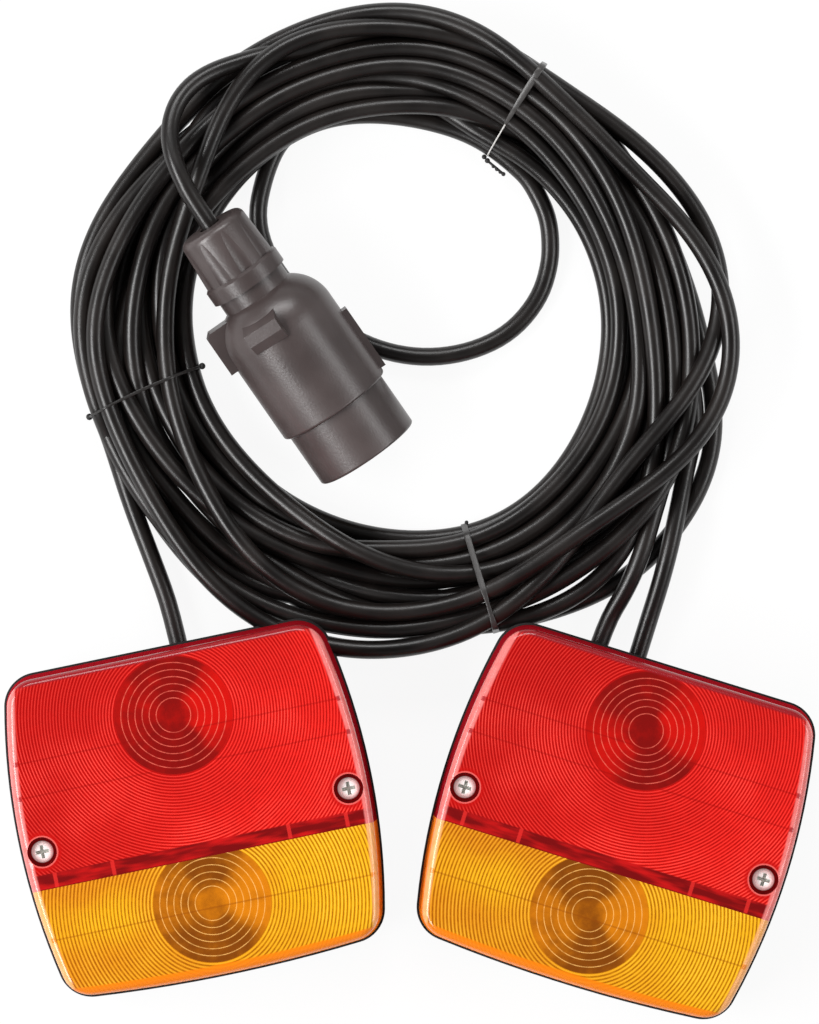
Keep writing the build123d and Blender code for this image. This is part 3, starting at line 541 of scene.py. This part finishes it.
mainLead = makeLead("mainLead", leads["rightTail"] + turnPoints("first") + leads["innerLoop"] + turnPoints("last")
                    + leads["plugTail"][::-1])
linkLead = makeLead("linkLead", leads["leftTail"] + turnPoints("link") + leads["linkTail"][::-1])
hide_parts("cable_coil", "inner_loop", "right_lamp_tail", "plug_tail")
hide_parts("left_lamp_tail", "link_tail")
print("leads wound")

# ties drawn tight round the turns
tieMake = {
    "ringStep": 20,  # degrees between the points that a loop is drawn round
    "cornerAngle": 1.0, "cornerRound": 0.00018, "cornerSteps": 2, "knobDetail": 2, "rodSides": 10,
}


def tightLoop(points):
    chain = []
    for way in (1, -1):
        half = []
        for p in sorted(points)[::way]:
            while len(half) > 1 and ((half[-1][0] - half[-2][0]) * (p[1] - half[-2][1])
                                     - (half[-1][1] - half[-2][1]) * (p[0] - half[-2][0])) <= 0:
                half.pop()
            half.append(p)
        chain += half[:-1]
    return chain


def tieLoop(tie):
    here = offTie(tie) <= coil["step"] / 2
    ringSize = radius + tie["thick"] / 2
    ring = np.radians(np.arange(0, 360, tieMake["ringStep"]))
    rim = [(r + ringSize * math.cos(a), z + ringSize * math.sin(a))
           for r, z in zip(spread[here], height[here]) for a in ring]
    corners = tightLoop(rim)
    loop = []
    for start, stop in zip(corners, corners[1:] + corners[:1]):
        pieces = max(1, round(math.dist(start, stop)))
        loop += [tuple(np.add(start, np.subtract(stop, start) * i / pieces)) for i in range(pieces)]
    return loop


def onCoil(reach, degrees, up):
    turned = math.radians(degrees)
    x = coil["centre"][0] + reach / 1000 * math.cos(turned)
    y = coil["centre"][1] + reach / 1000 * math.sin(turned)
    return Vector((x, y, up / 1000))


def fromMiddle(at):
    return math.dist(at[:2], coil["centre"]) * 1000


def addRod(bm, start, stop, size):
    run = stop - start
    turned = run.to_track_quat("Z", "Y").to_matrix().to_4x4()
    bmesh.ops.create_cone(bm, cap_ends=True, segments=tieMake["rodSides"], radius1=size / 1000, radius2=size / 1000,
                          depth=run.length, matrix=Matrix.Translation((start + stop) / 2) @ turned)


tieObjects = {}
for name, tie in ties.items():
    loop = tieLoop(tie)
    low, high = min(loop), max(loop)
    bm = bmesh.new()
    line = []
    for reach, up in loop:
        degrees = np.interp(reach, [low[0], high[0]], [tie["inner"], tie["outer"]])
        line.append(bm.verts.new(onCoil(reach, degrees, up)))
    edges = [bm.edges.new((a, b)) for a, b in zip(line, line[1:] + line[:1])]
    grown = bmesh.ops.extrude_edge_only(bm, edges=edges)
    sideways = onCoil(1.0, (tie["outer"] + tie["inner"]) / 2 + 90, 0.0) - onCoil(0.0, 0.0, 0.0)
    widthAt, widths = list(tie["widths"]), list(tie["widths"].values())
    for row, way in ((line, -1), ([v for v in grown["geom"] if isinstance(v, bmesh.types.BMVert)], 1)):
        for vert in row:
            vert.co += sideways * way / 2 * float(np.interp(fromMiddle(vert.co), widthAt, widths))
    bmesh.ops.recalc_face_normals(bm, faces=bm.faces)
    bmesh.ops.solidify(bm, geom=bm.faces[:], thickness=tie["thick"] / 1000)
    bmesh.ops.recalc_face_normals(bm, faces=bm.faces)
    corners = [e for e in bm.edges if len(e.link_faces) == 2 and e.calc_face_angle(0.0) > tieMake["cornerAngle"]]
    bmesh.ops.bevel(bm, geom=corners, offset=tieMake["cornerRound"], offset_type="OFFSET",
                    segments=tieMake["cornerSteps"], profile=0.5, affect="EDGES", material=-1)
    for face in bm.faces:
        face.material_index = int(fromMiddle(face.calc_center_median()) < tie["bareBelow"])
    strip = set(bm.faces)
    ends = {"inner": (low[0], tie["inner"], low[1]), "outer": (high[0], tie["outer"], high[1])}
    for end, step, size in tie["knobs"]:
        at = onCoil(*np.add(ends[end], step))
        bmesh.ops.create_icosphere(bm, subdivisions=tieMake["knobDetail"], radius=size / 1000,
                                   matrix=Matrix.Translation(at))
    for end, first, second, size in tie["rods"]:
        addRod(bm, onCoil(*np.add(ends[end], first)), onCoil(*np.add(ends[end], second)), size)
    for face in bm.faces:
        face.smooth = True
        if face not in strip:
            face.material_index = 2
    mesh = bpy.data.meshes.new(name)
    bm.to_mesh(mesh)
    bm.free()
    tieObjects[name] = bpy.data.objects.new(name, mesh)
    scene.collection.objects.link(tieObjects[name])
    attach(tieObjects[name], "root")
    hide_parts(tie["node"])
print("ties drawn")

# finishes: two tones mixed by a noise, an even or a mottled roughness, and a fine grain; mottle and grain give the
# noise's scale and detail, and relief the bump's depth in metres and its strength
midNoise = (0.3, 0.7)  # most of a noise lies between these
finishes = {
    "blackCableSheath": {
        "dark": tone(14, 11, 10), "pale": tone(25, 20, 18), "mottle": (60.0, 3.0), "contrast": (0.35, 0.70),
        "rough": (0.29, 0.38), "grain": (900.0, 3.0), "relief": (0.00004, 0.5)},
    "greyPlugPlastic": {
        "dark": tone(58, 49, 48), "pale": tone(73, 63, 62), "mottle": (45.0, 4.0), "contrast": midNoise,
        "rough": (0.33, 0.41), "grain": (1500.0, 2.0), "relief": (0.00006, 0.6),
        "settings": {"Specular IOR Level": 0.75}, "pieces": ["plug_body", "plug_nose", "plug_gland_nut"]},
    "blackRubber": {
        "dark": tone(16, 15, 15), "pale": tone(34, 32, 32), "mottle": (80.0, 3.0),
        "rough": 0.6, "grain": (1200.0, 3.0), "relief": (0.00005, 0.5),
        "pieces": ["plug_cable_seal", "left_grommet", "right_grommet", "left_lens_seal", "right_lens_seal"]},
    "blackBaseMoulding": {
        "dark": tone(18, 17, 17), "pale": tone(32, 30, 30), "mottle": (50.0, 3.0),
        "rough": 0.45, "grain": (1400.0, 3.0), "relief": (0.00006, 0.5),
        "pieces": ["left_base", "right_base", "left_stop_holder", "right_stop_holder", "left_indicator_holder",
                   "right_indicator_holder"]},
    "bareTieWire": {
        "dark": tone(206, 203, 200), "pale": tone(232, 230, 226), "mottle": (600.0, 3.0),
        "rough": 0.3, "settings": {"Metallic": 0.3}},
    "brassContact": {
        "dark": tone(188, 150, 78), "pale": tone(214, 180, 104), "mottle": (500.0, 4.0),
        "rough": (0.22, 0.38), "settings": {"Metallic": 1.0},
        "pieces": ["plug_pins", "left_stop_contact", "right_stop_contact", "left_indicator_contact",
                   "right_indicator_contact"]},
    "whiteReflector": {
        "dark": tone(226, 225, 222), "pale": tone(240, 239, 236), "mottle": (40.0, 3.0),
        "rough": 0.35, "pieces": ["left_reflector", "right_reflector"]},
    "bulbGlass": {
        "dark": tone(236, 236, 234), "pale": tone(250, 250, 248), "mottle": (90.0, 3.0),
        "rough": 0.06, "settings": {"Transmission Weight": 0.85},
        "pieces": ["left_stop_bulb", "right_stop_bulb", "left_indicator_bulb", "right_indicator_bulb"]},
    "paleCoreSheath": {
        "dark": tone(196, 190, 178), "pale": tone(214, 208, 196), "mottle": (120.0, 3.0),
        "rough": 0.5, "pieces": ["left_cores", "right_cores"]},
}
for name, tie in ties.items():
    finishes[name + "Sheath"] = {"dark": tie["dark"], "pale": tie["pale"], "mottle": (400.0, 3.0), "rough": 0.34}


def makeFinish(name, look):
    finish, tree, shader = newFinish(name)
    where = objectSpace(tree)
    patches = noise(tree, where, *look["mottle"])
    share = ramp(tree, patches, *look["contrast"]) if "contrast" in look else patches
    feed(tree, shader.inputs["Base Color"], mixTone(tree, share, look["dark"], look["pale"]))
    rough = look["rough"]
    if isinstance(rough, tuple):
        rough = ramp(tree, patches, *midNoise, *rough)
    feed(tree, shader.inputs["Roughness"], rough)
    if "grain" in look:
        feed(tree, shader.inputs["Normal"], bumpOf(tree, noise(tree, where, *look["grain"]), *look["relief"]))
    for socket, value in look.get("settings", {}).items():
        shader.inputs[socket].default_value = value
    dress(finish, *look.get("pieces", []))
    return finish


made = {name: makeFinish(name, look) for name, look in finishes.items()}
for lead in (mainLead, linkLead):
    lead.data.materials.append(made["blackCableSheath"])
for name, tieObject in tieObjects.items():
    for finish in (name + "Sheath", "bareTieWire", "blackRubber"):
        tieObject.data.materials.append(made[finish])

# screws: painted shade in the cross and round the head's edge, below the plated top, which has a painted glow
screw = {
    "recessShade": tone(190, 192, 185), "dark": tone(238, 238, 235), "pale": tone(252, 252, 250), "mottle": (700.0, 4.0),
    "shadeDepth": 0.0014, "unshadedDepth": 0.0008, "metal": 0.15, "rough": (0.24, 0.36),
    "glowTone": tone(255, 255, 252), "shine": 0.21,
}
screwFinish, tree, shader = newFinish("platedScrew")
where = objectSpace(tree)
patches = noise(tree, where, *screw["mottle"])
screwTop = max(corner[2] for corner in nodes["left_lens_screws"].bound_box)
unshadedTop = ramp(tree, axesOf(tree, where)["Z"], screwTop - screw["shadeDepth"], screwTop - screw["unshadedDepth"])
plating = mixTone(tree, patches, screw["dark"], screw["pale"])
# painted shade: below the head's top, the cross and the rounded edge take the darker tone
feed(tree, shader.inputs["Base Color"], mixTone(tree, unshadedTop, screw["recessShade"], plating))
shader.inputs["Metallic"].default_value = screw["metal"]
feed(tree, shader.inputs["Roughness"], ramp(tree, patches, *midNoise, *screw["rough"]))
# painted glow: the head's top emits a little near-white light
shader.inputs["Emission Color"].default_value = screw["glowTone"]
feed(tree, shader.inputs["Emission Strength"], times(tree, unshadedTop, screw["shine"]))
dress(screwFinish, "left_lens_screws", "right_lens_screws")

# lenses, in millimetres from each lamp's middle: ribs follow circles about each bullseye
lamps = {"left": (-0.062545, 0.00246, 11.7), "right": (0.059855, -0.00144, -17.2)}  # middle in metres, and turn
lensFace = {
    "halfWidth": 52.5, "sideBow": 5.8, "halfHeight": 49.0, "bottomBow": 2.4, "flatSide": 48.9, "edgeSoft": 0.7,
    "wall": (42.6, 44.6), "stripShare": (0.70, 0.92), "endShare": 0.9,
    "clouds": (0.035, 2.0), "cloudMid": (0.45, 0.65), "specks": (0.5, 3.0), "speckMid": (0.3, 0.6),
    "leanAcross": 0.006, "leanUp": -0.004, "leanBase": 0.08, "litRange": (0.25, 1.0),
    "ribDark": (-0.1, 0.9), "ribDarkShare": (0.52, 0.80), "ribPale": (-0.4, -0.95), "ribPaleShare": (0.20, 0.46),
    "mouldWidth": 0.3, "mouldShare": 0.4, "markWidth": 0.9, "markReach": (49.9, 49.6), "markShare": 0.85,
    "rough": (0.18, 0.50), "gloss": (0.45, 0.0), "index": 1.49, "ribRelief": 0.3, "relief": (0.00006, 0.35),
}
bullseye = {
    "edge": (17.0, 17.3), "mottles": (0.17, 3.0, 0.6), "mottleShare": 0.9, "coreFade": (3.5, 7.0), "hub": 0.5,
    "beamWidth": (0.45, 1.0), "beamReach": (2.0, 8.0), "beamShare": (0.05, 1.0), "glareRange": (0.34, 1.25),
    "ringFirst": 5.0, "ringPitch": 2.05, "ringWidth": (0.03, 0.20), "ringStart": (4.2, 4.7),
    "ringEnd": (15.5, 16.6), "ringFaint": 0.15, "ringShare": (0.35, 0.75),
}
web = {  # dark, with pale posts, where the colours meet
    "top": (-9.1, -8.5), "stretch": (0.07, 0.42), "streaks": (1.0, 2.0), "streakRange": (0.40, 0.68),
    "posts": [26.0, 43.0], "postWidth": 0.7, "postShare": 0.7, "seamAt": -13.2, "seamWidth": 0.35, "seamShare": 0.8,
}
well = {  # for the screws: distances from the well's middle
    "across": 45.3, "up": -2.2, "inside": (4.2, 4.4), "rim": 4.5, "rimWidth": 0.28, "rimShare": 0.55,
    "boss": (5.3, 6.1), "bossShare": 0.75,
}
lensTones = {
    "red": {
        "bullseye": 28.9, "flatEnd": 45.9, "ribPitch": 0.9, "mouldLines": [24.0, 14.0],
        "glare": {"left": [(0.0, 0.70), (160.0, 0.26)], "right": [(24.0, 0.64), (215.0, 0.49)]},  # degrees, strength
        "core": {"left": 0.12, "right": 0.0},
        "bright": tone(216, 24, 18), "deep": tone(176, 12, 10), "rib": tone(132, 6, 6), "ribLit": tone(246, 96, 84),
        "disc": tone(116, 10, 8), "discLit": tone(188, 15, 9), "ring": tone(222, 100, 84), "edge": tone(146, 18, 28),
        "strip": tone(226, 126, 122), "end": tone(134, 14, 24), "web": tone(108, 8, 10), "webLit": tone(178, 18, 18),
        "post": tone(206, 40, 36), "wellRim": tone(226, 112, 106), "wellGlow": tone(74, 8, 8)},
    "amber": {
        "bullseye": -26.7, "flatEnd": 44.9, "ribPitch": 1.05, "mouldLines": [-28.0],
        "glare": {"left": [(0.0, 0.68), (165.0, 0.32)], "right": [(15.0, 0.64), (205.0, 0.42)]},
        "core": {"left": 0.36, "right": 0.12},
        "flank": {"across": (17.0, 27.0), "up": 2.0, "upFade": (1.0, 13.0), "share": 0.45},  # light beside the bullseye
        "bright": tone(221, 159, 11), "deep": tone(198, 119, 10), "rib": tone(128, 60, 5), "ribLit": tone(248, 200, 74),
        "disc": tone(116, 58, 6), "discLit": tone(198, 114, 10), "ring": tone(236, 180, 100),
        "edge": tone(226, 124, 34), "strip": tone(236, 168, 112), "end": tone(224, 116, 12)},
}


def nearLine(tree, value, line, reach):
    core = 0.6 * reach
    return ramp(tree, unsigned(tree, minus(tree, value, line)), core, reach, 1.0, 0.0)


def bowOf(tree, value, half, bow):
    return times(tree, calc(tree, "POWER", over(tree, value, half), 2.0), bow)


def lampSpace(tree, side):
    x, y, turn = lamps[side]
    local = tree.nodes.new("ShaderNodeMapping")
    local.vector_type = "TEXTURE"
    local.inputs["Location"].default_value = (x, y, 0.0)
    local.inputs["Rotation"].default_value = (0.0, 0.0, math.radians(turn))
    local.inputs["Scale"].default_value = (0.001, 0.001, 0.001)
    tree.links.new(objectSpace(tree), local.inputs["Vector"])
    return axesOf(tree, local.outputs[0])


def makeLensFinish(side, colour):
    tones = lensTones[colour]
    finish, tree, shader = newFinish(side + colour.capitalize() + "Lens")
    px, py, pz = lampSpace(tree, side)
    up = minus(tree, py, tones["bullseye"])
    away = fromCentre(tree, px, up)
    flatPlace = flatPoint(tree, px, py)
    clouds = noise(tree, flatPlace, *lensFace["clouds"])
    specks = noise(tree, flatPlace, *lensFace["specks"])

    # broad light and dark over the face, then the fine ribs
    slope = add(tree, times(tree, px, lensFace["leanAcross"]), times(tree, up, lensFace["leanUp"]))
    lit = add(tree, add(tree, slope, lensFace["leanBase"]), clouds)
    if colour == "amber":
        flank = tones["flank"]
        besideDisc = ramp(tree, unsigned(tree, px), *flank["across"])
        levelWithIt = ramp(tree, unsigned(tree, minus(tree, up, flank["up"])), *flank["upFade"], 1.0, 0.0)
        lit = add(tree, lit, times(tree, times(tree, besideDisc, levelWithIt), flank["share"]))
    face = mixTone(tree, ramp(tree, lit, *lensFace["litRange"]), tones["deep"], tones["bright"])
    wave = calc(tree, "SINE", times(tree, away, 2 * math.pi / tones["ribPitch"]))
    darker = times(tree, ramp(tree, wave, *lensFace["ribDark"]),
                   ramp(tree, specks, *lensFace["speckMid"], *lensFace["ribDarkShare"]))
    face = mixTone(tree, darker, face, tones["rib"])
    # painted highlight: pale rib lines, stronger where the cloud noise is high
    paler = times(tree, ramp(tree, wave, *lensFace["ribPale"]),
                  ramp(tree, clouds, *lensFace["cloudMid"], *lensFace["ribPaleShare"]))
    face = mixTone(tree, paler, face, tones["ribLit"])

    # bullseye disc with its beams of glare and its pale rings
    mottles = noise(tree, flatPlace, *bullseye["mottles"])
    glare = add(tree, times(tree, mottles, bullseye["mottleShare"]),
                ramp(tree, away, *bullseye["coreFade"], tones["core"][side], 0.0))
    for degrees, strength in tones["glare"][side]:
        turned = math.radians(degrees)
        along = add(tree, times(tree, px, math.cos(turned)), times(tree, up, math.sin(turned)))
        facing = over(tree, along, larger(tree, away, bullseye["hub"]))
        beam = times(tree, ramp(tree, facing, *bullseye["beamWidth"], 0.0, strength),
                     ramp(tree, away, *bullseye["beamReach"], *bullseye["beamShare"]))
        glare = add(tree, glare, beam)
    discTone = mixTone(tree, ramp(tree, glare, *bullseye["glareRange"]), tones["disc"], tones["discLit"])
    steps = over(tree, minus(tree, away, bullseye["ringFirst"]), bullseye["ringPitch"])
    offRing = times(tree, calc(tree, "PINGPONG", steps, 0.5), bullseye["ringPitch"])
    ring = times(tree, ramp(tree, offRing, *bullseye["ringWidth"], 1.0, 0.0),
                 ramp(tree, away, *bullseye["ringStart"]))
    ring = times(tree, ring, ramp(tree, away, *bullseye["ringEnd"], 1.0, bullseye["ringFaint"]))
    ringShare = times(tree, ring, ramp(tree, specks, *lensFace["speckMid"], *bullseye["ringShare"]))
    discTone = mixTone(tree, ringShare, discTone, tones["ring"])
    inDisc = ramp(tree, away, *bullseye["edge"], 1.0, 0.0)
    face = mixTone(tree, inDisc, face, discTone)

    # faint lines left by the mould
    for line in tones["mouldLines"]:
        mould = times(tree, nearLine(tree, py, line, lensFace["mouldWidth"]), lensFace["mouldShare"])
        face = mixTone(tree, mould, face, tones["rib"])

    if colour == "red":
        # the web, dark partly in its own colour and partly with painted shade where less light comes through, streaked
        # along its length
        stretched = flatPoint(tree, times(tree, px, web["stretch"][0]), times(tree, py, web["stretch"][1]))
        streaks = noise(tree, stretched, *web["streaks"])
        webTone = mixTone(tree, ramp(tree, streaks, *web["streakRange"]), tones["web"], tones["webLit"])
        for place in web["posts"]:
            post = times(tree, nearLine(tree, unsigned(tree, px), place, web["postWidth"]), web["postShare"])
            webTone = mixTone(tree, post, webTone, tones["post"])
        seam = times(tree, nearLine(tree, py, web["seamAt"], web["seamWidth"]), web["seamShare"])
        webTone = mixTone(tree, seam, webTone, tones["web"])
        face = mixTone(tree, ramp(tree, py, *web["top"], 1.0, 0.0), face, webTone)

        # screw wells: a darker boss round each, a pale rim painted as a highlight, and a painted deep red glow inside
        # that lifts their shade
        toWell = fromCentre(tree, minus(tree, unsigned(tree, px), well["across"]), minus(tree, py, well["up"]))
        face = mixTone(tree, ramp(tree, toWell, *well["boss"], well["bossShare"], 0.0), face, tones["deep"])
        # painted highlight: a thin pale rim round each well
        rim = times(tree, nearLine(tree, toWell, well["rim"], well["rimWidth"]), well["rimShare"])
        face = mixTone(tree, rim, face, tones["wellRim"])
        # painted glow: the well's inside emits deep red
        shader.inputs["Emission Color"].default_value = tones["wellGlow"]
        feed(tree, shader.inputs["Emission Strength"], ramp(tree, toWell, *well["inside"], 1.0, 0.0))

    # rounded edge: painted pale highlight along the sides, deep along the ends, with small dark marks at the mould
    # lines
    sideways = add(tree, unsigned(tree, px), bowOf(tree, py, lensFace["halfHeight"], lensFace["sideBow"]))
    bottom = minus(tree, bowOf(tree, px, lensFace["halfWidth"], lensFace["bottomBow"]), py)
    endways = larger(tree, py, bottom)
    atSide = ramp(tree, sideways, lensFace["flatSide"] - lensFace["edgeSoft"], lensFace["flatSide"])
    atEnd = ramp(tree, endways, tones["flatEnd"] - lensFace["edgeSoft"], tones["flatEnd"])
    stripTone = tones["strip"]
    for line in tones["mouldLines"]:
        mark = times(tree, nearLine(tree, py, line, lensFace["markWidth"]),
                     ramp(tree, sideways, *lensFace["markReach"]))
        stripTone = mixTone(tree, times(tree, mark, lensFace["markShare"]), stripTone, tones["edge"])
    # painted highlight: the pale, speckled strip along each side
    strip = times(tree, atSide, ramp(tree, specks, *midNoise, *lensFace["stripShare"]))
    face = mixTone(tree, strip, face, stripTone)
    face = mixTone(tree, times(tree, atEnd, lensFace["endShare"]), face, tones["end"])
    wall = ramp(tree, pz, *lensFace["wall"], 1.0, 0.0)
    face = mixTone(tree, wall, face, tones["edge"])

    feed(tree, shader.inputs["Base Color"], face)
    feed(tree, shader.inputs["Roughness"], ramp(tree, wall, 0.0, 1.0, *lensFace["rough"]))
    feed(tree, shader.inputs["Specular IOR Level"], ramp(tree, wall, 0.0, 1.0, *lensFace["gloss"]))
    shader.inputs["IOR"].default_value = lensFace["index"]
    relief = add(tree, times(tree, wave, lensFace["ribRelief"]), times(tree, ring, inDisc))
    relief = times(tree, relief, minus(tree, 1.0, larger(tree, atSide, atEnd)))
    feed(tree, shader.inputs["Normal"], bumpOf(tree, relief, *lensFace["relief"]))
    dress(finish, f"{side}_{colour}_lens")


for side in lamps:
    for colour in lensTones:
        makeLensFinish(side, colour)
print("finishes made")
